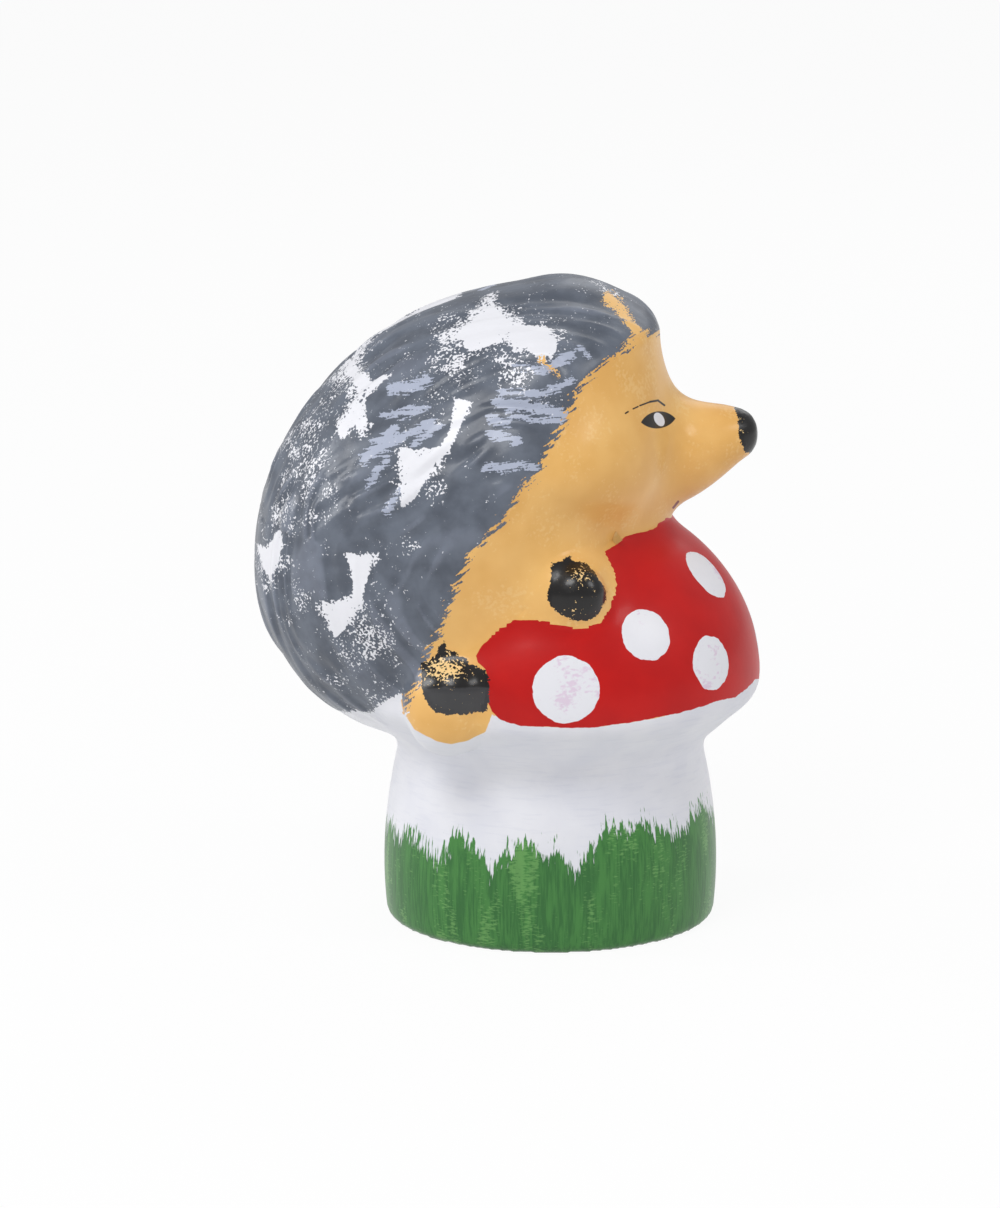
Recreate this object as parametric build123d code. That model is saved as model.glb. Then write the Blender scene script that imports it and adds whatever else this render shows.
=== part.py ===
from build123d import *
import os

# Hedgehog hugging a toadstool: a hollow ceramic ornament, open under its foot.
# Millimetres. X points the way the hedgehog faces, Z is up, and the origin is the middle of the foot.
# Every named piece is a panel of one slip-cast skin: its own outer form, less the forms that lie over it,
# and less the hollow that is left where the slip was drained.

# Skin
wall = 5.0
reach = 400.0

# Toadstool stem
foot_diameter = 101.0
foot_rounding = 2.5
barrel_diameter = 103.0
barrel_height = 20.0
neck_diameter = 94.0
neck_height = 53.5
narrowing_at_middle_share = 0.3
pour_hole_diameter = 62.0

# Toadstool cap. The lip's places have a rise and a spread, as shares of the way from the neck to the rim.
cap_diameter = 129.0
lip_height = 23.0
dome_height = 57.0
lip_shares = [(0.30, 0.25), (0.58, 0.66)]

# Body, an egg that leans back off the cap
body_length = 156.0
body_width = 125.0
body_depth = 127.5
body_tilt = 39.5
body_setback = 17.2
body_middle_height = 126.6

# Quill coat, the back of the egg as far as an edge that is one gentle curve from the side
coat_stands_proud = 1.2
coat_edge_shares = [(0.389, 0.370), (0.305, 0.354), (0.234, 0.345), (0.176, 0.311), (0.121, 0.222),
                    (0.047, 0.118), (-0.027, 0.017), (-0.082, -0.090), (-0.130, -0.215), (-0.169, -0.338)]

# Hood, a tall egg that rounds off the front of the body over the brow, and belly, a narrower one
# that draws the flanks in to the cap. Both are shares of the body's length, width and depth.
hood_size_shares = (0.808, 1.12, 2.35)
belly_size_shares = (0.718, 1.032, 1.725)
belly_place_shares = (-0.088, 0.0, 0.183)

# Head, in shares of the body: flat rounds laid one above the other, from its bed in the cap to the crown.
# Each round has a height, a shift forward, a length and a width, as shares of the head's.
head_size_shares = (0.615, 0.952, 0.668)
head_drop_share = 0.1145
head_round_shares = [(0.0, -0.115, 0.80, 0.44), (0.148, -0.105, 0.91, 0.67), (0.295, -0.112, 0.975, 0.92),
                     (0.43, -0.106, 1.0, 1.0), (0.61, -0.080, 0.915, 0.90), (0.795, -0.032, 0.75, 0.75),
                     (0.91, 0.012, 0.54, 0.50), (0.972, 0.040, 0.30, 0.27)]
crown_forward_share = 0.055

# Snout, in shares of the head: upright rounds from inside the face to the nose.
# Each round has a place along the snout, a rise, a width and a height, as shares of the snout's.
snout_root_share = 0.104
snout_rise_share = 0.446
snout_size_shares = (0.511, 0.252, 0.364)
snout_blend = 7.0
snout_round_shares = [(0.0, -0.07, 1.55, 1.50), (0.66, -0.13, 1.0, 1.0), (0.79, -0.085, 0.83, 0.83),
                      (0.91, -0.02, 0.65, 0.65), (1.0, 0.02, 0.47, 0.47)]

# Nose
nose_length = 14.0
nose_width = 14.5
nose_depth = 16.5
nose_seat = 2.5

# Forelegs and their paws. A leg's place is in shares of the body's length, width and depth.
foreleg_length = 31.0
foreleg_width = 27.0
foreleg_depth = 25.0
foreleg_tilt = 8.0
foreleg_place_shares = (0.126, 0.360, -0.118)
forepaw_length = 18.5
forepaw_width = 15.0
forepaw_depth = 18.5
forepaw_forward = 4.5
forepaw_spread = 8.5
forepaw_rise = 0.5

# Hind legs and their feet
hind_leg_length = 27.0
hind_leg_width = 26.0
hind_leg_depth = 32.0
hind_leg_place_shares = (-0.0885, 0.408, -0.381)
hind_foot_length = 22.0
hind_foot_width = 22.0
hind_foot_depth = 18.0
hind_foot_forward = 2.0
hind_foot_spread = 3.5
hind_foot_rise = 6.0


def beside_body(shares):
    """A place, given from the body's middle as shares of the body's length, width and depth."""
    ahead, beside, above = shares
    return (-body_setback + ahead * body_length, beside * body_width, body_middle_height + above * body_depth)


def ovoid(middle, size, inset=0, tilt=0):
    """An egg form: half a unit ball drawn out to a size, joined to its twin, with its front end tilted up."""
    half_ball = Sphere(1, arc_size3=180, align=(Align.CENTER, Align.MIN, Align.CENTER))
    half = scale(half_ball, by=tuple(length / 2 - inset for length in size))
    return Pos(middle) * Rot(0, -tilt, 0) * (half + Rot(0, 0, 180) * half)


def stem_form(inset):
    """The stalk, turned: a flared flank over a rounded foot."""
    foot = foot_diameter / 2 - inset
    barrel = barrel_diameter / 2 - inset
    neck = neck_diameter / 2 - inset
    middle = barrel - (barrel - neck) * narrowing_at_middle_share
    middle_height = (barrel_height + neck_height) / 2
    with BuildSketch(Plane.XZ) as outline:
        with BuildLine():
            flank = Spline((foot, inset), (barrel, barrel_height), (middle, middle_height), (neck, neck_height))
            Polyline(flank @ 1, (0, neck_height), (0, inset), flank @ 0)
        make_face()
        corner = outline.vertices().sort_by_distance((foot, 0, inset))[0]
        fillet(corner, foot_rounding)
    return revolve(outline.sketch, Axis.Z)


def cap_form(inset):
    """The cap, turned: half an ellipse over a lip that draws in to the neck in a soft S."""
    rim = cap_diameter / 2 - inset
    neck = neck_diameter / 2 - inset
    rim_height = neck_height + lip_height
    with BuildSketch(Plane.XZ) as outline:
        with BuildLine():
            places = [(neck + spread * (rim - neck), neck_height + rise * lip_height)
                      for rise, spread in lip_shares]
            lip = Spline((neck, neck_height), *places, (rim, rim_height), tangents=[(0, 1), (0, 1)])
            dome = EllipticalCenterArc((0, rim_height), rim, dome_height - inset, start_angle=0, arc_size=90)
            Polyline(dome @ 1, (0, neck_height), lip @ 0)
        make_face()
    return revolve(outline.sketch, Axis.Z)


def body_form(inset):
    """The leaning egg that the coat and the flanks are cut from, rounded off in front by the hood."""
    egg = ovoid(beside_body((0, 0, 0)), (body_length, body_width, body_depth), inset, body_tilt)
    return egg & ovoid(beside_body(belly_place_shares), hood_size, inset)


def belly_form(inset):
    """A tall, narrower egg: where it is cut out of the body, the flanks draw in to the cap."""
    return ovoid(beside_body(belly_place_shares), belly_size, inset)


def head_form(inset):
    """Brow, cheeks and crown in one loft."""
    height = head_height - 2 * inset
    base = head_base + inset
    rounds = []
    for rise, forward, length, width in head_round_shares:
        place = Pos(forward * head_length, 0, base + rise * height)
        rounds.append(place * Ellipse(length * head_length / 2 - inset, width * head_width / 2 - inset).face())
    return Part() + loft([*rounds, Vertex(crown_forward_share * head_length, 0, base + height)])


def snout_form(inset):
    """The snout, a loft that narrows to the nose."""
    rounds = []
    for along, rise, width, height in snout_round_shares:
        middle = (snout_root + along * (snout_length - inset), 0, snout_middle + rise * snout_height)
        place = Plane(origin=middle, x_dir=(0, 1, 0), z_dir=(1, 0, 0))
        rounds.append(place * Ellipse(width * snout_width / 2 - inset, height * snout_height / 2 - inset).face())
    return Part() + loft(rounds)


def face_form():
    """The head with its snout, blended where the snout leaves the brow and the cheeks."""
    joined = head_form(0) + snout_form(0)
    front = snout_root + snout_length * snout_round_shares[1][0]
    meeting = [edge for edge in joined.edges()
               if head_length / 4 < edge.center().X < front and abs(edge.center().Y) > snout_width / 8]
    return fillet(meeting, snout_blend)


def behind_the_edge():
    """All the room behind the coat's edge, and below its lower end."""
    middle = Vector(beside_body((0, 0, 0)))
    points = [(middle.X + x * body_length, middle.Z + z * body_length) for x, z in coat_edge_shares]
    (top, _), (_, bottom) = points[0], points[-1]
    with BuildSketch(Plane.XZ) as region:
        with BuildLine():
            edge = Spline(points)
            Polyline(edge @ 1, (reach, bottom), (reach, -reach), (-reach, -reach), (-reach, reach),
                     (top, reach), edge @ 0)
        make_face()
    return extrude(region.sketch, amount=reach, both=True)


# Sizes that follow from the body's
body_sizes = (body_length, body_width, body_depth)
hood_size = [share * size for share, size in zip(hood_size_shares, body_sizes)]
belly_size = [share * size for share, size in zip(belly_size_shares, body_sizes)]
head_length, head_width, head_height = (share * size for share, size in zip(head_size_shares, body_sizes))
head_base = body_middle_height - head_drop_share * body_depth
head_sizes = (head_length, head_width, head_height)
snout_length, snout_width, snout_height = (share * size for share, size in zip(snout_size_shares, head_sizes))
snout_root = snout_root_share * head_length
snout_middle = head_base + snout_rise_share * head_height

# Outer forms
stem = stem_form(0)
cap = cap_form(0)
belly = body_form(0) & belly_form(0)
face = face_form()
behind = behind_the_edge()
coat = (body_form(-coat_stands_proud) + head_form(-coat_stands_proud)) & behind

# Hollow
hollow = body_form(wall) & (behind + belly_form(wall))
hollow = hollow + head_form(wall) + snout_form(wall) + cap_form(wall) + stem_form(wall)
pour_hole = Cylinder(pour_hole_diameter / 2, 2 * wall, align=(Align.CENTER, Align.CENTER, Align.CENTER))

# Nose
nose_x = snout_root + snout_length - nose_seat
nose_z = snout_middle + snout_round_shares[-1][1] * snout_height
nose = ovoid((nose_x, 0, nose_z), (nose_length, nose_width, nose_depth))

# Legs of the right side, each with its paw or foot
x, y, z = beside_body(foreleg_place_shares)
foreleg = ovoid((x, -y, z), (foreleg_length, foreleg_width, foreleg_depth), tilt=foreleg_tilt)
paw = ovoid((x + forepaw_forward, -y - forepaw_spread, z + forepaw_rise),
            (forepaw_length, forepaw_width, forepaw_depth))
x, y, z = beside_body(hind_leg_place_shares)
hind_leg = ovoid((x, -y, z), (hind_leg_length, hind_leg_width, hind_leg_depth))
foot = ovoid((x + hind_foot_forward, -y - hind_foot_spread, z + hind_foot_rise),
             (hind_foot_length, hind_foot_width, hind_foot_depth))
limbs = nose
for limb in (foreleg, paw, hind_leg, foot):
    limbs = limbs + limb + mirror(limb, Plane.XZ)

# Panels of the skin that lie across the middle
pieces = {
    "mushroom_stem": stem - hollow - pour_hole,
    "mushroom_cap": cap - limbs - hollow,
    "quill_coat": coat - cap - limbs - hollow,
    "head": face - behind - cap - limbs - hollow,
    "nose": nose,
}

# Panels that come in pairs, the left one the mirror image of the right one
right_half = Pos(0, -reach / 2, 0) * Box(2 * reach, reach, 2 * reach)
pairs = {
    "flank": (belly - behind - cap - face - limbs - hollow) & right_half,
    "foreleg": foreleg - paw - hollow,
    "forepaw": paw - hollow,
    "hind_leg": hind_leg - foot - hollow,
    "hind_foot": foot - hollow,
}
for name, panel in pairs.items():
    pieces[f"{name}_right"] = panel
    pieces[f"{name}_left"] = mirror(panel, Plane.XZ)

os.makedirs("parts", exist_ok=True)
for name, piece in pieces.items():
    export_step(piece, f"parts/{name}.step")
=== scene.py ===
# %% [markdown]
# # A painted hedgehog on a toadstool
# The real object is a hollow ceramic ornament, cast in one skin and painted by hand. A hedgehog in a grey
# coat of quills hugs the red cap of a toadstool, on a thick white stem with grass round its foot. Because
# it is one skin, it is modelled as one skin: the construction model's nodes are joined, softened and carved
# together, and only then cut into their separate pieces where the sculpted forms meet. So no seam shows,
# and the paint can run over every join as a brush does.

# %% Load the construction model
import bpy
import bmesh
import math
import numpy as np
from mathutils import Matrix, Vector
from mathutils.bvhtree import BVHTree


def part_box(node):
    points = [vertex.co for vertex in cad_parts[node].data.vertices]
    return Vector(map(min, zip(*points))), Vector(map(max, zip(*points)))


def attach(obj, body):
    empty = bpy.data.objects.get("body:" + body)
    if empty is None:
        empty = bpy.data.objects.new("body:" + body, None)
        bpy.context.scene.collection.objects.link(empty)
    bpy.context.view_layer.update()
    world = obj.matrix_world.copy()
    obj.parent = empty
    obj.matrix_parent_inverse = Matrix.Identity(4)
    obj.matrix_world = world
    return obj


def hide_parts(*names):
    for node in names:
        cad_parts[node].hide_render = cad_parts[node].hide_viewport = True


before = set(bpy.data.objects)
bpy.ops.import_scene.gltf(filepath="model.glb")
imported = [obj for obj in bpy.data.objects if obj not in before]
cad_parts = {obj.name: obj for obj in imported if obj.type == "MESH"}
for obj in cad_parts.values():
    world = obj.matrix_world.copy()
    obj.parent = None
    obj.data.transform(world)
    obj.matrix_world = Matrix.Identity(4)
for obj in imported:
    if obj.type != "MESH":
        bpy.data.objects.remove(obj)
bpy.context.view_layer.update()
MM = 0.001
print("nodes:", sorted(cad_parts))

# %% [markdown]
# ## One skin
# Copies of all the nodes go into one mesh, with a plug over the pour hole under the foot, so nothing inside
# can be reached from outside. A voxel remesh then keeps only what is outside, as one closed skin of small
# even squares. Booleans could join the forms too, but they would leave knife-sharp creases, and varnished
# clay has none.

# %% Join the nodes and remesh them
voxel = 1.1 * MM
merge_distance = 0.001 * MM
pour_hole_radius = 31 * MM
plug_radius = pour_hole_radius + 2 * MM
plug_thickness = 3 * MM
plug_height = 2 * MM

joined = bmesh.new()
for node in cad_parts.values():
    joined.from_mesh(node.data)
bmesh.ops.remove_doubles(joined, verts=joined.verts, dist=merge_distance)
plug = bmesh.ops.create_cone(joined, cap_ends=True, segments=96, radius1=plug_radius, radius2=plug_radius,
                             depth=plug_thickness)["verts"]
bmesh.ops.translate(joined, verts=plug, vec=(0, 0, plug_height))
joined_mesh = bpy.data.meshes.new("joined")
joined.to_mesh(joined_mesh)
joined.free()
joined_object = bpy.data.objects.new("joined", joined_mesh)
bpy.context.scene.collection.objects.link(joined_object)
remesh = joined_object.modifiers.new("clay", "REMESH")
remesh.mode = "VOXEL"
remesh.voxel_size = voxel
bpy.context.view_layer.update()
remeshed = joined_object.evaluated_get(bpy.context.evaluated_depsgraph_get())
skin_mesh = bpy.data.meshes.new_from_object(remeshed)
bpy.data.objects.remove(joined_object)
print("skin:", len(skin_mesh.vertices), "points")

# %% [markdown]
# ## Keep the outer skin
# Remeshing can leave crumbs that touch nothing, or a skin round a closed hollow. Only the largest connected
# part is the outside of the ornament, so the rest goes. Walking from point to point along the edges finds
# the parts.

# %% Drop the crumbs
skin = bmesh.new()
skin.from_mesh(skin_mesh)
islands = []
left = set(skin.verts)
while left:
    seed = left.pop()
    island, to_visit = [seed], [seed]
    while to_visit:
        point = to_visit.pop()
        for edge in point.link_edges:
            other = edge.other_vert(point)
            if other in left:
                left.remove(other)
                island.append(other)
                to_visit.append(other)
    islands.append(island)
islands.sort(key=len)
print("islands:", [len(island) for island in islands])
for island in islands[:-1]:
    bmesh.ops.delete(skin, geom=island, context="VERTS")
skin.normal_update()
skin.to_mesh(skin_mesh)
skin.free()

# %% [markdown]
# ## Take hold of the points
# The next steps move every point of the skin many times. Number lists do that hundreds of times faster than
# a loop over the points, so the places are copied out of the mesh, moved in millimetres, and put back.

# %% Read and move the skin's points


def skin_numbers(name):
    """One of the skin's three-number lists, such as its places or its normals."""
    numbers = np.zeros(len(skin_mesh.vertices) * 3, np.float32)
    skin_mesh.vertices.foreach_get(name, numbers)
    return numbers.reshape(-1, 3).astype(float)


def move_skin(points):
    """Puts the skin's points at new places, in millimetres."""
    skin_mesh.vertices.foreach_set("co", (points * MM).astype(np.float32).ravel())
    skin_mesh.update()


ends = np.zeros(len(skin_mesh.edges) * 2, np.int32)
skin_mesh.edges.foreach_get("vertices", ends)
ends = ends.reshape(-1, 2)
neighbours = np.bincount(ends.ravel(), minlength=len(skin_mesh.vertices))


def to_neighbours(points):
    """How far the middle of its neighbours lies from each point."""
    sums = [np.bincount(ends[:, 0], points[ends[:, 1], axis], len(points))
            + np.bincount(ends[:, 1], points[ends[:, 0], axis], len(points)) for axis in range(3)]
    return np.column_stack(sums) / neighbours[:, None] - points


places = skin_numbers("co") / MM
print("edges:", len(ends), "highest point", round(float(places[:, 2].max()), 1), "mm")

# %% [markdown]
# ## Soften it like clay
# First every point moves half-way to the middle of its neighbours a few times, which takes out the voxels'
# steps. Then only hollows are filled: a point rises where its neighbours stand higher, again and again, so
# that cheek, shoulder, arm and cap run into each other in soft valleys, as under a wet sponge, while round
# forms keep their size. The face and the shoulder get more of it, and the crown is rounded. The foot stays
# flat.

# %% Smooth the skin and fill its creases
smoothing_rounds = 9
filling_rounds = 140
soft_rounds = 320
crown_rounds = 150
foot_edge = 6
lowest_arm = 80
crown = 185
flat_below = 0.4
soft_places = [(38, 142, 15, 24), (30, 170, 12, 14), (6, 118, 20, 10)]


def rising(values, start, run, least=0.0):
    """Climbs evenly to 1 over a run of values past a start, and is never under its least."""
    return np.clip((values - start) / run, least, 1)


def relax(points, rounds, share):
    """Moves points at most half-way to the middle of their neighbours, by a share that depends on height."""
    for _ in range(rounds):
        points += to_neighbours(points) * (0.5 * share(points[:, 2]))[:, None]


def fill_hollows(points, rounds, share, rounds_to_a_look):
    """Raises points whose neighbours stand higher. Which way is out is looked up again every few rounds."""
    for number in range(rounds):
        if number % rounds_to_a_look == 0:
            move_skin(points)
            outward = skin_numbers("normal")
        hollow = np.maximum((to_neighbours(points) * outward).sum(1), 0)
        points += outward * (hollow * (0.5 * share))[:, None]


relax(places, smoothing_rounds, lambda height: rising(height, 0, foot_edge, 0.25))
fill_hollows(places, filling_rounds, rising(places[:, 2], lowest_arm, 12, 0.12), 15)
softness = sum(np.exp(-((places[:, 0] - x) / wide) ** 2 - ((places[:, 2] - z) / high) ** 2)
               for x, z, wide, high in soft_places)
fill_hollows(places, soft_rounds, np.clip(softness, 0, 1), 20)
relax(places, crown_rounds, lambda height: rising(height, crown, 9))
relax(places, 1, lambda height: rising(height, 0, foot_edge, 0.1))
places[places[:, 2] < flat_below, 2] = 0
move_skin(places)
print("softened", len(places), "points")

# %% [markdown]
# ## The side view
# The paint is best known from the side, so it is laid on from there. Each point of the skin gets a place in
# the side view, in millimetres to the right of the stem's middle and above its foot, as seen from where the
# camera stands. Patches and edges of paint are then plain outlines in that view, pressed straight onto the
# clay. The far side gets the same outlines mirrored, since nothing is known of it.

# %% Place every point in the side view
camera_place = np.array([-15.6, -1800.0, 505.9])
camera_pitch = math.radians(12.79)
camera_distance = 1869.8
view_shift = (-15.6, 95.0)


def seen(points):
    """Where points of the near side, in millimetres, stand in the side view."""
    forward = np.array([0, math.cos(camera_pitch), -math.sin(camera_pitch)])
    upward = np.array([0, math.sin(camera_pitch), math.cos(camera_pitch)])
    away = points - camera_place
    depth = away @ forward
    return np.column_stack([camera_distance * away[:, 0] / depth + view_shift[0],
                            camera_distance * (away @ upward) / depth + view_shift[1]])


near = places.copy()
near[:, 1] = -np.abs(near[:, 1])
side_view = seen(near)
print("side view spans", side_view.min(0).round(1), side_view.max(0).round(1))

# %% [markdown]
# ## Outlines and strokes
# Two small tools measure how far a point lies inside an outline, or inside a brush stroke of a given width.
# A distance is better than a yes or no: the paint's edge can then be broken up by noise at any width.

# %% Measure outlines and strokes


def inside(points, outline):
    """How many millimetres points lie inside an outline; less than zero outside it."""
    corners = np.array(outline, float)
    nearest = np.full(len(points), 1e9)
    within = np.zeros(len(points), bool)
    for start, end in zip(corners, np.roll(corners, -1, axis=0)):
        along = end - start
        share = np.clip((points - start) @ along / (along @ along), 0, 1)
        nearest = np.minimum(nearest, np.linalg.norm(points - start - share[:, None] * along, axis=1))
        passes = (start[1] > points[:, 1]) != (end[1] > points[:, 1])
        rise = along[1] if along[1] else 1e-9
        within ^= passes & (points[:, 0] < start[0] + along[0] * (points[:, 1] - start[1]) / rise)
    return np.where(within, nearest, -nearest)


def stroke(points, path, width):
    """How many millimetres points lie inside a brush stroke along a path."""
    nearest = np.full(len(points), 1e9)
    for start, end in zip(np.array(path[:-1], float), np.array(path[1:], float)):
        along = end - start
        share = np.clip((points - start) @ along / (along @ along), 0, 1)
        nearest = np.minimum(nearest, np.linalg.norm(points - start - share[:, None] * along, axis=1))
    return width / 2 - nearest


square = [(0, 0), (10, 0), (10, 10), (0, 10)]
print("a point 2 mm inside a square:", inside(np.array([[5.0, 2.0]]), square))

# %% [markdown]
# ## The edge of the coat
# The grey coat ends in one long line from over the brow, behind the cheek and the shoulder, down to the
# rump. Each point of the skin keeps how far inside that line it lies, because both the quills and the grey
# fade towards it.

# %% Measure the coat


def paint_field(name, values):
    """Keeps one number for each point of the skin, under a name that a material can read."""
    field = skin_mesh.attributes.new(name, "FLOAT", "POINT")
    field.data.foreach_set("value", np.asarray(values, np.float32))


coat_edge = [(33.5, 179.6), (28.0, 179.4), (25.5, 177.9), (24.9, 175.7), (21.8, 173.5), (15.6, 170.1),
             (12.5, 166.3), (9.3, 162.3), (7.2, 158.6), (5.3, 153.9), (3.1, 149.2), (0.0, 144.5),
             (-3.1, 136.7), (-9.3, 130.5), (-14.6, 121.2), (-24.9, 110.3), (-29.0, 100.9), (-34.3, 86.9),
             (-38.9, 77.6), (-41.1, 69.8), (-44.2, 65.1), (-46.0, 58.0)]
behind_it = [(-46.0, 20.0), (-150.0, 20.0), (-150.0, 260.0), (60.0, 260.0), (60.0, 179.6)]
coat_field = inside(side_view, coat_edge + behind_it)
print("coat covers", int((coat_field > 0).sum()), "points")

# %% [markdown]
# ## Carve the quills
# The quills are shallow grooves that a tool combed into the wet clay. Near the outline they run round the
# hedgehog like lines of latitude round its side, and break off and start again every centimetre or two. In
# the middle of the side they are short and lean up to the right. A bump map would not show at the outline,
# so the points really move.

# %% Draw rows of combed marks
lattice_size = 128
lattice = np.random.default_rng(7).random((lattice_size, lattice_size))
golden_share = 0.61803
most_shift = 7


def soft_noise(across, along):
    """Smooth noise from 0 to 1 over a lattice of random numbers that repeats."""
    row, column = np.floor(across).astype(int), np.floor(along).astype(int)
    u, v = across - row, along - column
    u, v = u * u * (3 - 2 * u), v * v * (3 - 2 * v)
    rows = [(row + i) % lattice_size for i in (0, 1)]
    columns = [(column + j) % lattice_size for j in (0, 1)]
    corner = [[lattice[r, c] for c in columns] for r in rows]
    return ((corner[0][0] * (1 - v) + corner[0][1] * v) * (1 - u)
            + (corner[1][0] * (1 - v) + corner[1][1] * v) * u)


def combed(across, along, width, length):
    """Rows of marks of a width and length, each row shifted along: below 0 in a groove, above on a ridge."""
    row = np.floor(across / width)
    share = across / width - row
    share = share * share * (3 - 2 * share)
    first, second = (soft_noise(number, along / length + (number * golden_share) % 1 * most_shift)
                     for number in (row, row + 1))
    return first * (1 - share) + second * share - 0.5


print("random numbers:", lattice.size, "from", lattice.min().round(4), "to", lattice.max().round(4))

# %% [markdown]
# ## Comb the coat
# Two combings are blended by how far a point is from the middle of the side. Slow noise bends their rows,
# as a hand would, and lets the grooves fade here and there. They stop short of the coat's edge, and get
# shallower over the crown.

# %% Comb grooves into the coat
groove_depth = 0.8
side_of_body = np.array([-40.0, 127.0])
body_middle = np.array([-17.2, 0.0, 126.6])
body_radius = 66
long_groove = (2.7, 17)
short_groove = (2.3, 13)
short_strength = 0.7
short_lean = math.radians(38)
over_the_crown = 205


def combed_round(points):
    """Grooves along the lines of latitude."""
    out = points - body_middle
    latitude = np.arcsin(np.clip(out[:, 1] / np.linalg.norm(out, axis=1), -1, 1)) * body_radius
    around = np.arctan2(out[:, 2], out[:, 0]) * np.hypot(out[:, 0], out[:, 2])
    small_bends = soft_noise(latitude / 16 + 40, around / 26 + 40) * 13
    large_bends = soft_noise(latitude / 40, around / 60) * 14
    return combed(latitude + (small_bends + large_bends), around, *long_groove)


def combed_across(view):
    """Short grooves in the middle of the side, that lean up to the right."""
    along = view[:, 0] * math.cos(short_lean) + view[:, 1] * math.sin(short_lean)
    across = view[:, 1] * math.cos(short_lean) - view[:, 0] * math.sin(short_lean)
    bends = soft_noise(along / 22 + 11, across / 18 + 5) * 12
    return combed(across + bends + 200, along, *short_groove)


far_out = rising(np.linalg.norm(side_view - side_of_body, axis=1), 20, 22)
quills = combed_round(places) * far_out + combed_across(side_view) * (1 - far_out) * short_strength
firmness = soft_noise(side_view[:, 0] / 13 + 7, side_view[:, 1] / 13 + 70) * 2.4 - 0.6
quills = np.clip(quills * 3.0, -1, 1) * (0.35 + 0.65 * np.clip(firmness, 0, 1))
clear_of_edge = rising(coat_field, 1.5, 6) * rising(places[:, 2], 60, 14)
clear_of_edge *= np.clip((over_the_crown - places[:, 2]) / 14, 0.3, 1)
places += skin_numbers("normal") * (quills * groove_depth * clear_of_edge)[:, None]
move_skin(places)
print("grooves reach", round(float(np.abs(quills * clear_of_edge).max() * groove_depth), 2), "mm")

# %% [markdown]
# ## Where each colour goes
# White patches show on the coat where the grey was dabbed or rubbed thin, and pale blue strokes run along
# the quills; they are partly strokes of paint and partly painted reflections of light on the varnished
# ridges.
# Every patch is an outline and every stroke a path with its width, in millimetres of the side view.
# A speckled place has a middle, a spread and a strength. All are placed one by one, since dabs follow no
# rule.

# %% Lay out the coat's patches and strokes
white_patches = [
    [(-18.1, 192.0), (-16.1, 188.0), (-12.7, 185.4), (-8.5, 182.4), (-1.9, 181.8), (3.5, 178.8),
     (1.7, 174.0), (-1.9, 170.8), (-5.5, 173.4), (-10.9, 173.4), (-13.9, 176.8), (-18.1, 175.6),
     (-24.7, 173.4), (-27.7, 175.6), (-34.3, 176.4), (-36.1, 178.8), (-29.5, 180.6), (-25.9, 184.2),
     (-23.5, 187.2), (-20.5, 189.2)],
    [(-54.6, 178.2), (-61.8, 172.2), (-67.2, 169.2), (-61.2, 163.8), (-63.6, 156.6), (-66.6, 150.6),
     (-65.2, 145.9), (-61.8, 149.4), (-58.2, 148.3), (-56.4, 150.6), (-58.2, 157.8), (-55.8, 160.2),
     (-49.2, 166.2), (-55.8, 165.0), (-60.0, 169.8), (-58.2, 173.4)],
    [(-29.5, 159.3), (-24.1, 157.8), (-27.7, 150.6), (-31.3, 142.3), (-37.9, 133.9), (-42.7, 127.3),
     (-46.2, 124.9), (-47.2, 130.3), (-46.5, 133.9), (-48.0, 144.1), (-42.1, 143.2), (-34.9, 143.7),
     (-32.5, 146.5), (-30.3, 154.2)],
    [(-64.2, 110.9), (-54.0, 110.5), (-57.0, 103.3), (-58.8, 94.3), (-64.5, 86.5), (-67.2, 84.2),
     (-70.8, 91.9), (-72.8, 95.8), (-65.2, 96.1), (-61.8, 97.9), (-61.6, 102.7)],
    [(-91.2, 113.5), (-87.6, 101.5), (-86.4, 99.1), (-85.2, 106.3), (-83.4, 113.5), (-84.0, 118.3),
     (-88.2, 112.9)]]
# Pale strokes along the quills: partly strokes of paint, partly painted reflections of light on the
# varnished ridges.
pale_strokes_and_sheen = [([(-58.2, 139.9), (-48.6, 149.4)], 2.6),
                ([(-55.2, 141.7), (-45.0, 147.7), (-36.7, 151.8)], 2.4),
                ([(-57.0, 131.5), (-51.0, 139.9)], 1.2),
                ([(-49.8, 162.0), (-43.8, 162.6), (-38.5, 164.8)], 2.6),
                ([(-51.6, 154.2), (-45.0, 154.8), (-38.5, 156.3)], 1.9),
                ([(-42.7, 144.7), (-34.3, 150.6)], 1.4),
                ([(-15.1, 160.8), (-3.1, 160.2), (2.9, 162.6), (7.1, 165.0)], 1.7),
                ([(-16.3, 157.8), (-7.9, 156.9), (4.7, 154.2)], 2.6),
                ([(-12.7, 154.2), (-5.5, 152.8), (2.9, 152.1)], 1.4),
                ([(-18.7, 153.0), (-12.7, 151.2)], 1.7), ([(-18.7, 148.3), (-10.3, 145.9)], 2.2),
                ([(-19.9, 137.5), (-5.5, 137.8)], 1.9), ([(-10.9, 169.2), (-1.9, 167.4)], 1.7),
                ([(-0.7, 168.6), (6.5, 172.2)], 2.4), ([(9.5, 174.4), (11.9, 172.0)], 1.4),
                ([(-51.0, 123.7), (-46.8, 130.3)], 1.7)]
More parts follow.
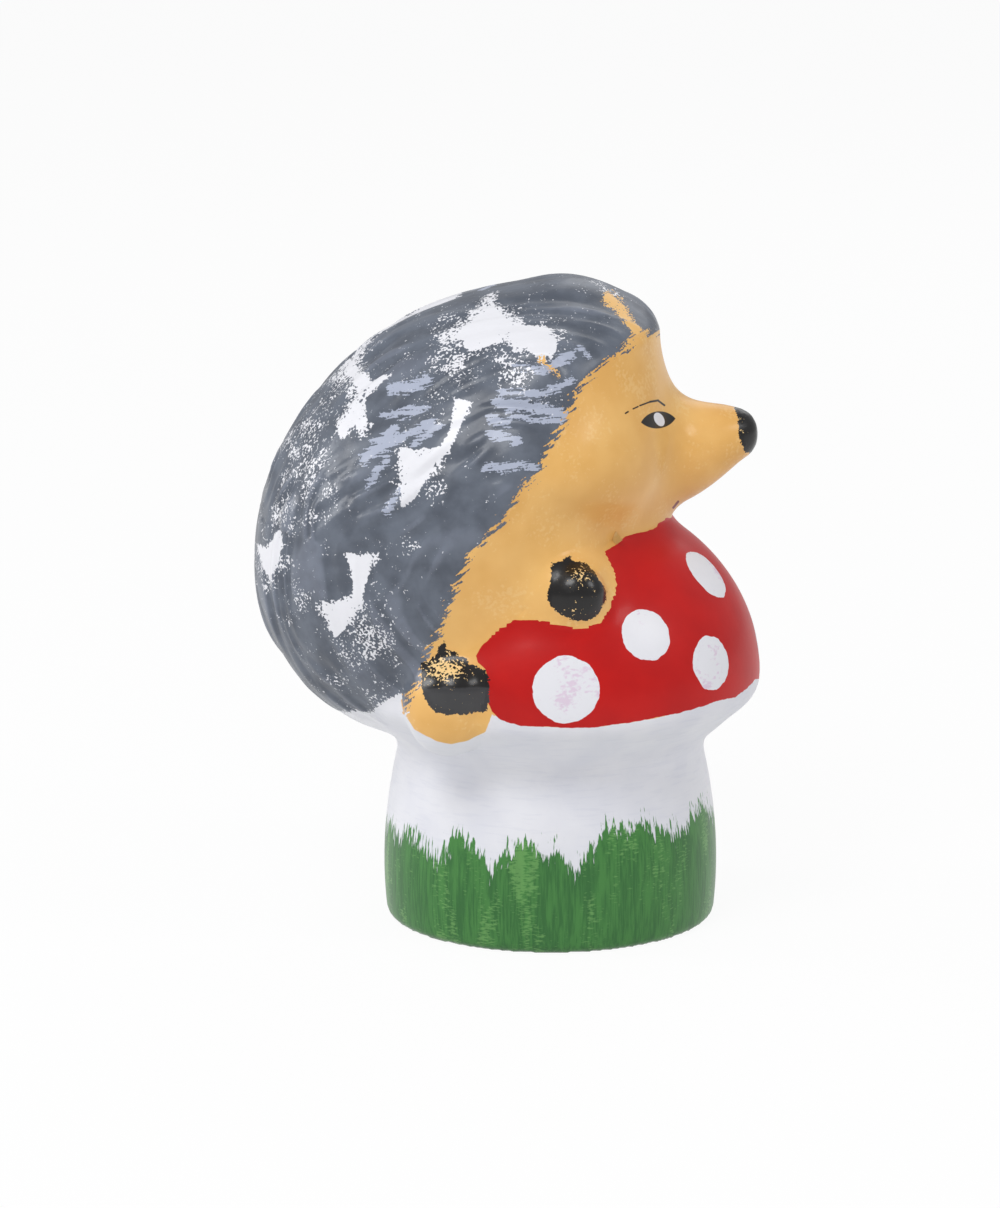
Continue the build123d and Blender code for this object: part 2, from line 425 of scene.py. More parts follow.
speckled_places = [(-30, 178, 16, 0.9), (-12, 172, 14, 0.7), (-60, 165, 14, 0.8), (-70, 138, 14, 0.6),
                   (-78, 118, 12, 0.7), (-86, 108, 9, 1.3), (-80, 145, 8, 1.3), (-45, 128, 12, 0.6),
                   (-60, 90, 14, 0.9), (-50, 100, 10, 0.5), (-50, 84, 8, 1.2), (-66, 72, 12, 0.8),
                   (-52, 66, 9, 1.1), (20, 196, 12, 1.2), (-5, 186, 16, 0.5), (-40, 158, 16, 0.5),
                   (-76, 134, 9, 1.4), (-84, 122, 7, 1.5), (-72, 152, 9, 1.2), (-68, 124, 8, 1.2),
                   (-58, 82, 8, 1.3), (-38, 130, 7, 1.2), (-30, 170, 9, 1.3), (-10, 166, 10, 1.2),
                   (-66, 168, 9, 1.4), (-78, 96, 9, 1.1), (-44, 112, 6, 1.2)]
orange_marks = [([(18.0, 190.8), (22.5, 187.0), (25.0, 182.5), (28.0, 178.8)], 3.0),
                ([(-2.5, 171.5), (2.5, 166.5)], 1.5)]
print("white patches:", len(white_patches), "pale strokes:", len(pale_strokes_and_sheen))

# %% [markdown]
# ## Press the dabs onto the clay
# A hand never paints both sides alike. On the far side the patches are swung round the middle of the side,
# so they fall elsewhere. Each kind of mark becomes one number at every point, for the materials to read.

# %% Measure the coat's patches and strokes
far_swing = math.radians(-28)
swing_middle = np.array([-40.0, 122.0])

far = places[:, 1] > 0
brushed = side_view.copy()
swing = np.array([[math.cos(far_swing), -math.sin(far_swing)], [math.sin(far_swing), math.cos(far_swing)]])
brushed[far] = (side_view[far] - swing_middle) @ swing.T + swing_middle

paint_field("coat", coat_field)
paint_field("quill", quills)
paint_field("orange", np.max([stroke(side_view, path, width) for path, width in orange_marks], axis=0))
paint_field("white_patch", np.max([inside(brushed, outline) for outline in white_patches], axis=0))
# Pale strokes, partly paint and partly painted reflections of light on the ridges.
paint_field("pale_stroke_and_sheen", np.max([stroke(brushed, path, width) for path, width in pale_strokes_and_sheen], axis=0))
paint_field("speckle", sum(strength * np.exp(-((brushed - (x, y)) ** 2).sum(1) / (spread * spread / 2))
                           for x, y, spread, strength in speckled_places))
print("fields:", [field.name for field in skin_mesh.attributes if field.data_type == "FLOAT"])

# %% [markdown]
# ## The toadstool's paint
# Red covers the cap down to a wavering line above the lip, and white spots sit on it. Grass is stroked up
# the stem from the foot. Both have an outline in the side view. A spot is all that lies within a distance
# of a point on the cap, so it is round wherever it sits. The ochre ends along an edge of its own, where the
# white ground begins, with one lobe that runs lower at the heel.

# %% Measure the cap and the stem
red_outline = [(34.3, 121.5), (33.3, 119.0), (30.5, 117.7), (23.6, 116.4), (20.4, 113.4), (17.2, 111.4),
               (14.6, 109.6), (17.1, 107.8), (19.0, 104.0), (19.3, 100.9), (18.7, 96.3), (15.9, 88.8),
               (12.5, 88.8), (3.1, 90.0), (-10.9, 90.0), (-14.0, 89.4), (-17.1, 86.9), (-19.3, 83.8),
               (-21.8, 81.3), (-23.1, 78.8), (-22.4, 76.9), (-20.2, 74.8), (-19.3, 71.3), (-19.6, 65.1),
               (-18.1, 61.4), (-15.6, 58.9), (-9.3, 57.0), (6.2, 56.4), (15.6, 56.7), (28.0, 58.6),
               (40.5, 61.1), (46.7, 62.9), (53.0, 65.1), (57.6, 65.9), (60.7, 68.2), (64.0, 71.6),
               (90.0, 72.5), (90.0, 128.0), (50.0, 128.0), (42.0, 126.0), (37.0, 123.6)]
ochre_edge = [(-60, 61), (-18, 60.5), (-9.3, 57.0), (6.2, 56.4), (15.6, 56.7), (28.0, 58.6), (36, 60),
              (44, 125), (80, 125)]
heel_outline = [(-46.0, 66.0), (-45.2, 60.4), (-42.1, 55.8), (-35.8, 52.3), (-30.5, 51.4), (-24.9, 52.6),
                (-20.2, 55.1), (-18.4, 58.9), (-18.7, 66.0), (-30.0, 75.0)]
behind_the_heel = -46
cap_spots = [(4.1, -63.1, 85.4, 10.0), (28.1, -51.4, 99.5, 8.0), (48.0, -40.2, 88.2, 8.3),
             (47.3, -18.9, 111.0, 8.6), (62.5, 4.0, 84.0, 8.5), (50.0, 22.0, 107.0, 8.0),
             (45.0, 45.0, 86.0, 9.0), (20.0, 54.0, 101.0, 8.0), (-2.0, 63.0, 84.5, 9.5)]
grass_line = [(-53, 27.5), (-50.8, 26.6), (-46.6, 22.3), (-42.4, 21.3), (-39.2, 17), (-37.1, 16),
              (-33.9, 14), (-30.2, 19.2), (-27.5, 21.3), (-24.4, 17), (-22.2, 16), (-19.1, 10.7),
              (-15.9, 12.8), (-12.2, 17), (-8.5, 18), (-6.4, 19.2), (-3.2, 16), (2.1, 17), (5.3, 12.4),
              (7.4, 11.8), (10.6, 15), (14.8, 19), (16.9, 23.4), (21.2, 23.4), (25.4, 23.4), (28.6, 26.6),
              (31.8, 24), (36, 23), (39.2, 23.4), (42.4, 25), (44.5, 27.6), (47.6, 30.9), (50.3, 29.8),
              (53, 30)]

paint_field("red", inside(side_view, red_outline))
above_lip = side_view[:, 1] - np.interp(side_view[:, 0], *np.array(ochre_edge, float).T)
above_lip[side_view[:, 0] < behind_the_heel] = -9
paint_field("bare_ochre", np.maximum(above_lip, inside(side_view, heel_outline)))
spots = [radius - np.linalg.norm(places - (x, y, z), axis=1) for x, y, z, radius in cap_spots]
paint_field("spot", np.max(spots, axis=0))
paint_field("grass", np.interp(side_view[:, 0], *np.array(grass_line, float).T) - side_view[:, 1])
paint_field("side_right", side_view[:, 0])
paint_field("side_up", side_view[:, 1])
print("spots cover", int((np.max(spots, axis=0) > 0).sum()), "points")

# %% [markdown]
# ## The black knobs
# Nose, front paws and hind feet are knobs of clay, dabbed with black. From the side the paint has its own
# ragged outline. All round, the paint of the paws and feet keeps to the egg that each is in the construction
# model.

# %% Measure the knobs
paw_paint = [(0.4, 107.8), (2.4, 108.0), (6.4, 110.0), (7.2, 108.5), (9.4, 108.3), (11.6, 107.4),
             (13.8, 104.8), (16.0, 101.7), (17.3, 99.1), (17.5, 96.5), (16.4, 94.3), (15.1, 91.7),
             (12.9, 90.1), (9.9, 89.8), (6.8, 90.1), (3.3, 91.7), (1.0, 93.4), (-0.4, 95.6), (-0.9, 98.2),
             (-0.4, 100.4), (0.5, 103.0), (0.1, 105.7)]
foot_paint = [(-40.1, 78.4), (-37.3, 78.6), (-35.5, 79.5), (-34.2, 82.5), (-32.6, 83.9), (-32.2, 80.8),
              (-30.1, 80.4), (-28.1, 78.6), (-25.9, 78.2), (-25.2, 76.0), (-22.9, 75.7), (-20.3, 74.3),
              (-19.1, 72.1), (-18.9, 68.6), (-19.1, 63.4), (-19.6, 61.6), (-23.3, 61.2), (-27.7, 60.6),
              (-32.0, 60.5), (-35.5, 61.2), (-37.7, 63.4), (-39.4, 66.0), (-40.1, 69.5), (-39.9, 73.8),
              (-40.3, 76.4)]
nose_paint = [(57.0, 157.5), (58.6, 152.3), (58.6, 147.7), (59.5, 144.5), (60.7, 142.3), (80.0, 138.0),
              (80.0, 170.0)]
worn_places = [(9.4, 103.5, 3.6, 3.0, 1.0), (7.0, 92.5, 5.0, 1.6, 0.5), (-32.5, 74.6, 6.4, 4.0, 1.6),
               (58.8, 150.0, 1.5, 5.0, 0.6)]
bare = -50
within_the_edge = 1.2

out_at_the_side = np.abs(places[:, 1]) > 30
dabs = [inside(side_view, nose_paint)]
dabs += [np.where(out_at_the_side, inside(side_view, outline), bare) for outline in (paw_paint, foot_paint)]
for name in ("forepaw_left", "forepaw_right", "hind_foot_left", "hind_foot_right"):
    low, high = (np.array(corner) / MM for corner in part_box(name))
    reach = np.linalg.norm((places - (low + high) / 2) / ((high - low) / 2), axis=1)
    dabs.append((1 - reach) * (high - low).min() / 2 - within_the_edge)
paint_field("black", np.max(dabs, axis=0))
across, up = side_view.T
paint_field("worn", sum(strength * np.exp(-((across - x) / wide) ** 2 - ((up - y) / high) ** 2)
                        for x, y, wide, high, strength in worn_places))
print("black covers", int((np.max(dabs, axis=0) > 0).sum()), "points")

# %% [markdown]
# ## Share out the skin
# Each square of the skin goes to the node that it lies nearest to. A tree of the nodes' triangles finds the
# nearest one quickly, and the square's material number serves to note whose it is.

# %% Give each square to a node
skin = bmesh.new()
skin.from_mesh(skin_mesh)
skin.faces.ensure_lookup_table()
triangles, owners, corners = [], [], []
names = sorted(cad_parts)
for number, name in enumerate(names):
    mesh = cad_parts[name].data
    first = len(corners)
    corners.extend(v.co.copy() for v in mesh.vertices)
    mesh.calc_loop_triangles()
    for triangle in mesh.loop_triangles:
        triangles.append([first + i for i in triangle.vertices])
        owners.append(number)
tree = BVHTree.FromPolygons(corners, triangles)
for face in skin.faces:
    middle_of_face = face.calc_center_median()
    face.material_index = owners[tree.find_nearest(middle_of_face)[2]]
print("squares:", len(skin.faces))

# %% [markdown]
# ## Cut the skin into its pieces
# A piece is a copy of the skin less all the other squares, given a wall that grows inwards, so it is a
# closed shell like the clay. The walls are thinner than the construction model's, so that they don't cross
# each other in the creases. Edges round a piece are sharp, because a smooth one would bend the light at the
# join. Squares under the foot make way for the pour hole.

# %% Cut the pieces out
underside = 1.5 * MM
thin_wall = 2.4 * MM
wall = {"mushroom_stem": 4.6 * MM, "mushroom_cap": 4.0 * MM, "quill_coat": 3.0 * MM}
pieces = {}
for number, name in enumerate(names):
    patch = skin.copy()
    others = [face for face in patch.faces if face.material_index != number]
    bmesh.ops.delete(patch, geom=others, context="FACES")
    hole = []
    for face in patch.faces:
        middle = face.calc_center_median()
        if middle.z < underside and middle.xy.length < pour_hole_radius:
            hole.append(face)
    bmesh.ops.delete(patch, geom=hole, context="FACES")
    for face in patch.faces:
        face.material_index = 0
        face.smooth = True
    for edge in patch.edges:
        edge.smooth = not edge.is_boundary
    mesh = bpy.data.meshes.new(name + "_skin")
    patch.to_mesh(mesh)
    patch.free()
    piece = bpy.data.objects.new(name + "_painted", mesh)
    bpy.context.scene.collection.objects.link(piece)
    thickness = piece.modifiers.new("wall", "SOLIDIFY")
    thickness.thickness = wall.get(name, thin_wall)
    thickness.offset = -1
    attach(piece, "root")
    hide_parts(name)
    pieces[name] = piece
    print(piece.name, len(mesh.polygons), "squares")
skin.free()

# %% [markdown]
# ## Write materials as sums
# A small class lets shader maths be written as ordinary Python: each sign adds the Math node that it stands
# for.

# %% Wrap a socket


class Signal:
    """A value that changes over a surface. Python's signs work on it and add Math nodes."""

    def __init__(self, paint, socket):
        self.paint, self.socket = paint, socket

    def maths(self, operation, *values):
        """Adds a Math node that works on some values or signals."""
        return self.paint.node("Math", {"operation": operation}, dict(enumerate(values)))

    def __add__(self, other):
        return self.maths("ADD", self, other)

    def __radd__(self, other):
        return self.maths("ADD", other, self)

    def __sub__(self, other):
        return self.maths("SUBTRACT", self, other)

    def __rsub__(self, other):
        return self.maths("SUBTRACT", other, self)

    def __mul__(self, other):
        return self.maths("MULTIPLY", self, other)

    def __rmul__(self, other):
        return self.maths("MULTIPLY", other, self)

    def __truediv__(self, other):
        return self.maths("DIVIDE", self, other)


print("a signal works with + - * and /")

# %% [markdown]
# ## Finishes
# All the paint is matt acrylic under a gloss varnish: a fairly rough base with a thin clear coat. One
# method adds any node. The others are the things that a brush does: clouds, dry bristle marks and ragged
# edges.

# %% Make a paint


class Paint:
    """A varnished paint: a material and the nodes that colour it."""

    def __init__(self, name):
        self.material = bpy.data.materials.new(name)
        self.material.use_nodes = True
        self.tree = self.material.node_tree
        self.tree.nodes.clear()

    def node(self, kind, settings=None, inputs=None, out=0):
        """Adds a node, with its settings first and then the values or links of its sockets."""
        made = self.tree.nodes.new("ShaderNode" + kind)
        for key, value in (settings or {}).items():
            setattr(made, key, value)
        for key, value in (inputs or {}).items():
            if isinstance(value, Signal):
                self.tree.links.new(value.socket, made.inputs[key])
            else:
                made.inputs[key].default_value = value
        return Signal(self, made.outputs[out])

    def field(self, name):
        """One of the numbers that the skin's points keep."""
        return self.node("Attribute", {"attribute_name": name}, out=2)

    def noise(self, size, detail=2.0, stretch=(1, 1, 1)):
        """Cloudy noise about as coarse as size, in millimetres."""
        millimetres = [part / MM for part in stretch]
        place = self.node("TexCoord", out=3)
        place = self.node("VectorMath", {"operation": "MULTIPLY"}, {0: place, 1: millimetres})
        return self.node("TexNoise", None, {"Vector": place, "Scale": 1 / size, "Detail": detail})

    def step(self, value, low, high):
        """0 up to low, 1 from high on, and a soft slope between them. Low may be the larger of the two."""
        return self.node("MapRange", {"interpolation_type": "SMOOTHSTEP"}, {0: value, 1: low, 2: high})

    def mix(self, share, first, second):
        """The first colour where share is 0, the second where it is 1."""
        return self.node("Mix", {"data_type": "RGBA"}, {0: share, 6: first, 7: second}, out=2)

    def bristles(self, lean, size, length=6):
        """Marks of a dry brush drawn over the side at an angle: as wide as size, and longer by a factor."""
        right, up = self.field("side_right"), self.field("side_up")
        along = (right * math.cos(lean) + up * math.sin(lean)) / length
        across = up * math.cos(lean) - right * math.sin(lean)
        place = self.node("CombineXYZ", None, {0: along, 1: across})
        return self.node("TexNoise", None, {"Vector": place, "Scale": 1 / size, "Detail": 3})

    def brushed_edge(self, field, ragged, grain=1.0):
        """A mask that is 1 well inside a field and breaks up into bristle marks and specks at its edge."""
        specks = (self.noise(grain, 3) * 0.6 + self.noise(grain * 4, 2) * 0.4 - 0.5) * 2.6
        return self.step(specks + field / ragged, -0.06, 0.06)

    def finish(self, shader):
        """Ends the material with a shader."""
        end = self.tree.nodes.new("ShaderNodeOutputMaterial")
        self.tree.links.new(shader.socket, end.inputs["Surface"])
        return self.material

    def varnish(self, colour, height, relief, roughness=0.5, coat=0.35):
        """Covers a colour with varnish, over brush marks that stand up by some millimetres."""
        bump = self.node("Bump", None, {"Strength": 1.0, "Distance": relief * MM, "Height": height})
        return self.finish(self.node("BsdfPrincipled", None, {
            "Base Color": colour, "Roughness": roughness, "Specular IOR Level": 0.22, "Normal": bump,
            "Coat Weight": coat, "Coat Roughness": 0.2}))


print("a paint can:", [tool for tool in vars(Paint) if not tool.startswith("_")])

# %% [markdown]
# ## The palette
# Nine paints cover the whole ornament, most of them in two or three mixtures, because a brush never lays
# one even colour. They are named once here, so that shared colours agree on every piece.

# %% Mix the colours


def shade(red, green, blue):
    """A colour as it looks on a screen, 0 to 255, turned into the plain light values that a shader wants."""
    def plain(part):
        part = part / 255
        return part / 12.92 if part <= 0.04045 else ((part + 0.055) / 1.055) ** 2.4
    return (plain(red), plain(green), plain(blue), 1)


WHITE, COOL_WHITE, PALE = shade(230, 230, 235), shade(216, 217, 226), shade(180, 187, 206)
GREY, DARK_GREY = shade(100, 107, 119), shade(80, 86, 97)
OCHRE, LIGHT_OCHRE, DEEP_OCHRE = shade(236, 186, 110), shade(242, 206, 144), shade(226, 172, 94)
RED, BRIGHT_RED = shade(184, 2, 0), shade(198, 10, 4)
BLACK, CHARCOAL = shade(20, 18, 18), shade(56, 56, 58)
GREEN, LIGHT_GREEN, DEEP_GREEN = shade(66, 128, 60), shade(112, 166, 92), shade(46, 104, 48)
MAUVE, DARK_RED = shade(216, 186, 212), shade(120, 20, 20)
print("red in plain light:", [round(part, 3) for part in RED[:3]])

# %% [markdown]
# ## The hedgehog's paint
# The hedgehog's colours share one set of rules, so coat and skin agree wherever they meet: ochre first,
# then grey dry-brushed over the back, then black on the knobs. The white ground under it all shows below
# the ochre's edge.

# %% Lay on white, ochre, grey and black


def white_layer(paint):
    """Off-white ground with cooler clouds and faint level brush marks."""
    clouds = paint.step(paint.noise(18, 3), 0.3, 0.7)
    marks = paint.step(paint.noise(1.1, 3, (0.12, 0.12, 1)), 0.5, 0.7)
    return paint.mix(clouds * 0.6 + marks * 0.3, WHITE, COOL_WHITE)


def ochre_layer(paint):
    """The ochre, warmer and cooler in soft clouds, with a few dry pale strokes, and white below its edge."""
    clouds = paint.step(paint.noise(22, 3), 0.35, 0.65)
    colour = paint.mix(clouds, OCHRE, DEEP_OCHRE)
    dry = paint.step(paint.noise(1.1, 4) + paint.noise(12, 2) * 0.9, 1.04, 1.22)
    colour = paint.mix(dry * 0.35, colour, LIGHT_OCHRE)
    covered = paint.step(paint.field("bare_ochre") + paint.noise(5, 2) * 0.8, 0.3, 0.6)
    return paint.mix(covered, white_layer(paint), colour)


def grey_layer(paint, under):
    """The quill coat: grey, painted shade in the grooves, painted highlight on the ridges, pale strokes,
    white patches, a dry edge.
    """
    quill = paint.field("quill")
    colour = paint.mix(paint.step(paint.noise(9, 3), 0.35, 0.7), GREY, DARK_GREY)
    # Painted highlight on the quills' ridges, partly dry-brushed paint, then painted shade darkening the
    # grooves.
    colour = paint.mix(paint.step(quill, 0.2, 0.9) * 0.14, colour, PALE)
    colour = paint.mix(paint.step(0 - quill, 0.0, 1.0) * 0.25, colour, DARK_GREY)
    # Pale strokes along the quills, partly paint and partly painted reflections of light on the ridges.
    dry = (paint.bristles(math.radians(8), 0.8, 8) - 0.5) * 6
    strokes = paint.brushed_edge(paint.field("pale_stroke_and_sheen") + dry + 0.2, 1.6, 0.7)
    colour = paint.mix(strokes * 0.85, colour, PALE)
    clumps = paint.noise(6, 2) * 0.5 + paint.noise(0.8, 4)
    specks = paint.step(clumps + paint.field("speckle") * 0.13, 0.97, 1.02)
    dryness = paint.step(paint.noise(11, 1), 0.42, 0.6) * 6 + 1.5
    patches = paint.brushed_edge(paint.field("white_patch"), dryness, 0.8)
    colour = paint.mix(specks.maths("MAXIMUM", specks, patches), colour, WHITE)
    colour = paint.mix(paint.brushed_edge(paint.field("orange"), 3.0, 0.7), colour, OCHRE)
    ragged_height = paint.field("side_up") + paint.noise(1.2, 3) * 4 + paint.noise(9, 2) * 3
    colour = paint.mix(paint.step(ragged_height, 65.6, 64.6), colour, WHITE)
    edge = paint.field("coat") + (paint.bristles(math.radians(36), 1.0) - 0.5) * 10
    return paint.mix(paint.brushed_edge(edge, 2.6, 0.7), under, colour)


def black_layer(paint, under):
    """Black on the knobs, charcoal under the feet, and ochre specks where the brush ran dry."""
    low_on_foot = paint.step(paint.field("side_up") + paint.noise(6, 2) * 2, 70.4, 69.6)
    low_on_foot = low_on_foot * paint.step(paint.field("side_right"), -14, -16)
    colour = paint.mix(low_on_foot, BLACK, CHARCOAL)
    worn = paint.step(paint.noise(0.8, 4) + paint.field("worn") * 0.2, 0.7, 0.73)
    colour = paint.mix(worn, colour, LIGHT_OCHRE)
    return paint.mix(paint.brushed_edge(paint.field("black"), 1.1, 0.7), under, colour)


print("layers:", [layer.__name__ for layer in (white_layer, ochre_layer, grey_layer, black_layer)])

# %% [markdown]
# ## The toadstool's paint
# Red goes over the cap in two tones, and its white spots are smeared a little with mauve. The grass is
# three greens in noise that is drawn out upwards, because its brush only ever moved that way.

# %% Lay on red and grass


def red_layer(paint, under):
    """Red on the cap, with white spots smeared a little with mauve."""
    tone = paint.step(paint.noise(14, 3), 0.35, 0.7)
    colour = paint.mix(tone * 0.6, RED, BRIGHT_RED)
    smear = paint.step(paint.noise(1.6, 4, (1, 1, 1.6)) * 0.6 + paint.noise(8, 1) * 0.7, 0.72, 0.86)
    spot_colour = paint.mix(smear * 0.6, WHITE, MAUVE)
    spots = paint.step(paint.field("spot") + paint.noise(4, 2) * 1.6, 0.7, 0.85)
    colour = paint.mix(spots, colour, spot_colour)
    return paint.mix(paint.step(paint.field("red") + paint.noise(3, 2) * 0.8, 0.3, 0.5), under, colour)


def grass_layer(paint, under):
    """Grass stroked upwards with a stiff brush, so its top ends in bristle marks."""
    bristles = paint.noise(0.7, 3, (1, 1, 0.07))
    tufts = paint.noise(4, 2, (1, 1, 0.18))
    tone = paint.mix(paint.step(bristles * 0.6 + tufts * 0.5, 0.42, 0.68), DEEP_GREEN, GREEN)
    ripples = paint.noise(0.9, 3, (0.5, 0.5, 1.8)) * 0.5 + paint.noise(6, 2, (1, 1, 0.3)) * 0.6
    tone = paint.mix(paint.step(ripples, 0.6, 0.7) * 0.6, tone, LIGHT_GREEN)
    reach = paint.field("grass") + (bristles - 0.5) * 22 + (tufts - 0.5) * 9 + 1.5
    return paint.mix(paint.step(reach, -0.9, 0.9), under, tone)


print("layers:", [layer.__name__ for layer in (red_layer, grass_layer)])

# %% [markdown]
# ## Eyes, brow and mouth
# These are single strokes of a fine brush, too small for the skin's squares, so the material draws them
# from the side view's own two numbers: an almond where two ovals overlap, an egg-shaped light, and thin
# lines.

# %% Draw the face
eye_top = (33.2, 155.8, 6.7, 6.1)
eye_bottom = (34.1, 148.6, 6.5, 6.4)
eye_light = (34.0, 152.5, 1.55, 2.1)
light_lean = -0.3
brow_strokes = [((35.6, 156.9), (33.6, 158.4), 0.62), ((33.6, 158.4), (31.2, 158.0), 0.66),
                ((31.2, 158.0), (28.0, 156.8), 0.5), ((27.4, 156.5), (25.9, 155.8), 0.45),
                ((24.3, 154.9), (23.5, 154.4), 0.5)]
mouth_stroke = ((38.4, 125.0), (39.9, 126.9), 0.7)
half_a_blur = 0.12


def face_layer(paint, under):
    """Eye, brow and mouth over the paint of the head."""
    right, up = paint.field("side_right"), paint.field("side_up")

    def line(start, end, width):
        """A straight stroke between two places of the side view."""
        (ax, ay), (bx, by) = start, end
        length = math.hypot(bx - ax, by - ay)
        ux, uy = (bx - ax) / length, (by - ay) / length
        along = (right - ax) * ux + (up - ay) * uy
        along = along.maths("MINIMUM", along.maths("MAXIMUM", along, 0), length)
        dx, dy = right - ax - along * ux, up - ay - along * uy
        distance = dx.maths("SQRT", dx * dx + dy * dy)
        return paint.step(distance, width / 2 + half_a_blur, width / 2 - half_a_blur)

    def oval(x, y, wide, high, lean=0.0):
        """A number that is 1 on an oval round a place, and less inside it."""
        dx, dy = (right - x) - (up - y) * lean, up - y
        dx, dy = dx / wide, dy / high
        return dx * dx + dy * dy

    bottom, top = oval(*eye_bottom), oval(*eye_top)
    almond = paint.step(top.maths("MAXIMUM", bottom, top), 1.04, 0.98)
    colour = paint.mix(almond, under, BLACK)
    colour = paint.mix(paint.step(oval(*eye_light, light_lean), 1.1, 0.95), colour, WHITE)
    for brow_stroke in brow_strokes:
        colour = paint.mix(line(*brow_stroke), colour, BLACK)
    return paint.mix(line(*mouth_stroke), colour, DARK_RED)


print("brow strokes:", len(brow_strokes))

# %% [markdown]
# ## Paint the pieces
# Six finishes are enough. Each lays its layers from the ground up, then gets its varnish over a fine
# relief, which is strongest on the quills. The black knobs shine most. Legs and flanks take the plain ochre
# finish.

# %% Make the finishes and paint the pieces
ochre = Paint("ochre skin paint")
skin_colour = black_layer(ochre, grey_layer(ochre, ochre_layer(ochre)))
ochre.varnish(skin_colour, ochre.noise(2.2, 3), 0.05)

face = Paint("ochre face paint")
face_colour = face_layer(face, black_layer(face, grey_layer(face, ochre_layer(face))))
face.varnish(face_colour, face.noise(2.2, 3), 0.05)

coat = Paint("quill coat paint")
coat_colour = grey_layer(coat, ochre_layer(coat))
coat.varnish(coat_colour, coat.noise(1.6, 4) + coat.field("quill") * 0.3, 0.14)

cap = Paint("toadstool cap paint")
cap_colour = black_layer(cap, red_layer(cap, ochre_layer(cap)))
cap.varnish(cap_colour, cap.noise(2.5, 2), 0.04, 0.5, 0.2)

stem = Paint("white stem with grass")
stem.varnish(grass_layer(stem, white_layer(stem)), stem.noise(2.0, 3), 0.08, 0.5)

black = Paint("black knob paint")
black.varnish(black_layer(black, ochre_layer(black)), black.noise(1.6, 3), 0.1, 0.38, 0.5)

finishes = {"mushroom_stem": stem, "mushroom_cap": cap, "quill_coat": coat, "head": face}
for name, piece in pieces.items():
    knob = name == "nose" or "paw" in name or "foot" in name
    piece.data.materials.clear()
    piece.data.materials.append(finishes.get(name, black if knob else ochre).material)
print("finishes:", len(bpy.data.materials))

# %% [markdown]
# ## The floor
# The ornament stands on a pale floor against white. To the eye most of the floor's brightness is its own
# glow, and only a small rest takes light, so a soft shadow is left without any more light on the ornament.

# %% Lay the floor
floor_reach = 6
glow_share = 0.93


def pale_stage():
    """The floor's shader: nearly white to the eye and to reflections, but it still takes the soft shadow."""
    floor_paint = Paint("studio floor")
    to_the_eye = floor_paint.node("LightPath", out=0)
    in_a_gloss = floor_paint.node("LightPath", out=3)
    through_glass = floor_paint.node("LightPath", out=6)
    direct = to_the_eye.maths("MAXIMUM", to_the_eye.maths("MAXIMUM", to_the_eye, in_a_gloss), through_glass)
    plain = floor_paint.node("BsdfDiffuse", None, {"Color": (0.86, 0.86, 0.86, 1)})
    glow = floor_paint.node("Emission", None, {"Color": (1, 1, 1, 1), "Strength": 1.0})
    mixed = floor_paint.node("MixShader", None, {0: direct * glow_share, 1: plain, 2: glow})
    return floor_paint.finish(mixed)


floor_grid = bmesh.new()
bmesh.ops.create_grid(floor_grid, x_segments=1, y_segments=1, size=floor_reach)
floor_mesh = bpy.data.meshes.new("studio_floor")
floor_grid.to_mesh(floor_mesh)
floor_grid.free()
floor = bpy.data.objects.new("studio_floor", floor_mesh)
bpy.context.scene.collection.objects.link(floor)
floor_mesh.materials.append(pale_stage())
print("floor:", floor.dimensions.x, "m")

# %% [markdown]
# ## Light
# The light is soft and even, as in a product picture: a dim world all round, a main light high on the
# camera's side, and three weaker ones from the sides and the back. The camera sees the world as plain
# white.

# %% Light the ornament
ambient_strength = 0.5
aim = Vector((0, 0, 0.1))

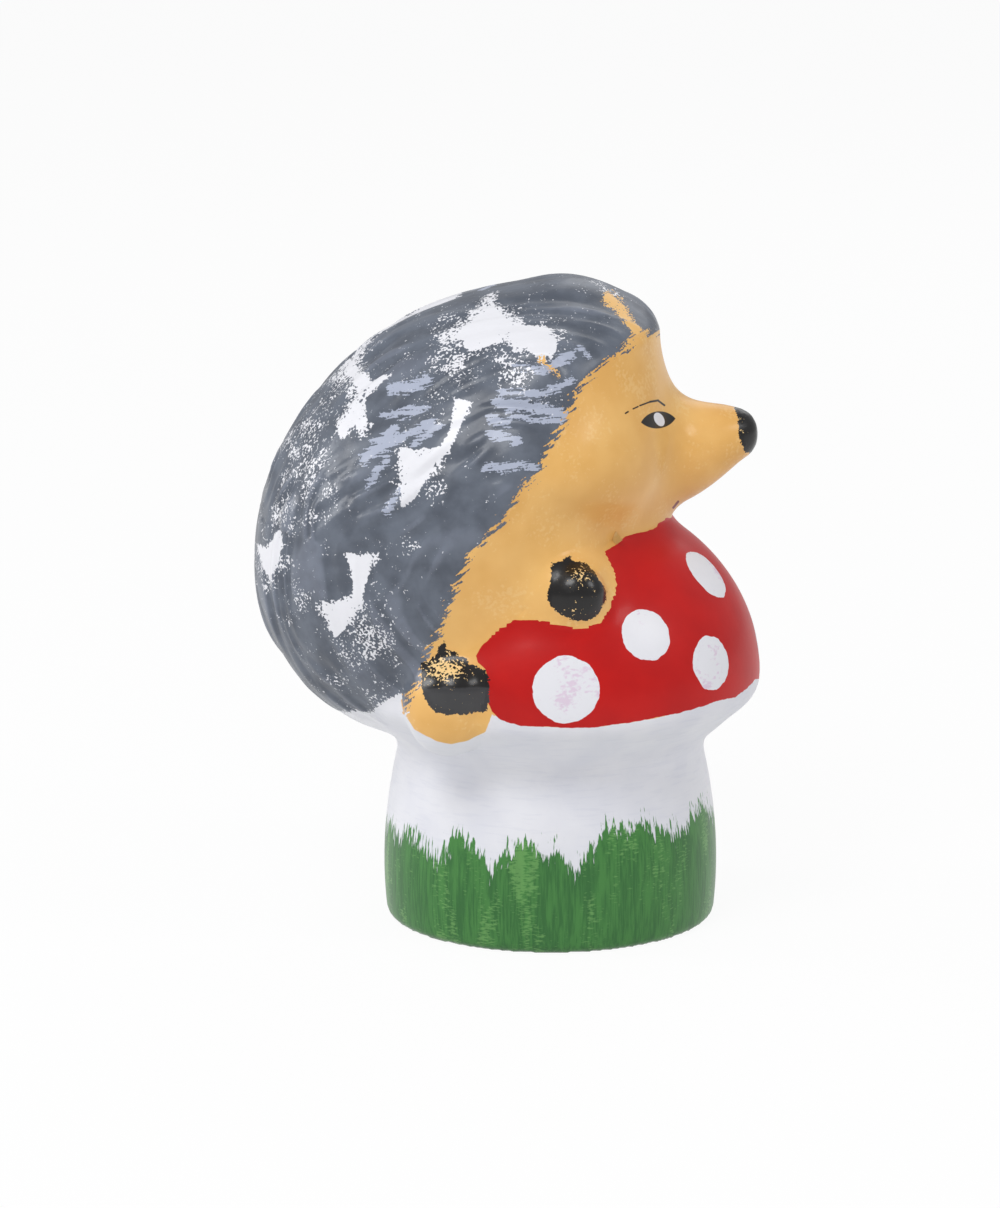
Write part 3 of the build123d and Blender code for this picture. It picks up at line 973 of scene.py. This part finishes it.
world = bpy.data.worlds.new("studio")
bpy.context.scene.world = world
world.use_nodes = True
nodes = world.node_tree.nodes
nodes.clear()
light_path = nodes.new("ShaderNodeLightPath")
ambient, backdrop = nodes.new("ShaderNodeBackground"), nodes.new("ShaderNodeBackground")
ambient.inputs["Color"].default_value = (0.97, 0.98, 1.0, 1)
ambient.inputs["Strength"].default_value = ambient_strength
backdrop.inputs["Color"].default_value = (1, 1, 1, 1)
blend = nodes.new("ShaderNodeMixShader")
world_end = nodes.new("ShaderNodeOutputWorld")
links = world.node_tree.links
links.new(light_path.outputs["Is Camera Ray"], blend.inputs[0])
links.new(ambient.outputs[0], blend.inputs[1])
links.new(backdrop.outputs[0], blend.inputs[2])
links.new(blend.outputs[0], world_end.inputs[0])


def soft_box(name, place, size, power):
    """A square soft light that faces the ornament."""
    lamp = bpy.data.lights.new(name, "AREA")
    lamp.size = size
    lamp.energy = power
    holder = bpy.data.objects.new(name, lamp)
    bpy.context.scene.collection.objects.link(holder)
    holder.location = place
    holder.rotation_euler = (aim - Vector(place)).to_track_quat("-Z", "Y").to_euler()


soft_box("key_light", (-0.45, -0.9, 1.2), 0.6, 9.5)
soft_box("side_light", (1.1, -0.5, 0.9), 0.4, 3.0)
soft_box("rim_light", (-1.3, 0.1, 0.6), 0.4, 4.5)
soft_box("back_light", (0.4, 1.2, 1.0), 0.9, 3.0)
print("lights:", [lamp.name for lamp in bpy.data.lights])

# %% [markdown]
# ## Camera
# A long lens from a good way off, at the side of the ornament and looking down on it a little. It stands
# where the side view was measured from, so every patch of paint falls on its outline.

# %% Place the camera
lens_length = 216.1

camera_data = bpy.data.cameras.new("camera")
camera_data.sensor_fit = "HORIZONTAL"
camera_data.sensor_width = 36
camera_data.lens = lens_length
camera_data.clip_end = 30
camera = bpy.data.objects.new("camera", camera_data)
bpy.context.scene.collection.objects.link(camera)
camera.location = camera_place * MM
camera.rotation_euler = (math.pi / 2 - camera_pitch, 0, 0)
bpy.context.scene.camera = camera
bpy.context.scene.view_settings.view_transform = "Standard"
print("camera at", [round(part, 3) for part in camera.location], "m")

# %% [markdown]
# ## Sizes
# The painted pieces should match the construction model to a millimetre or so.
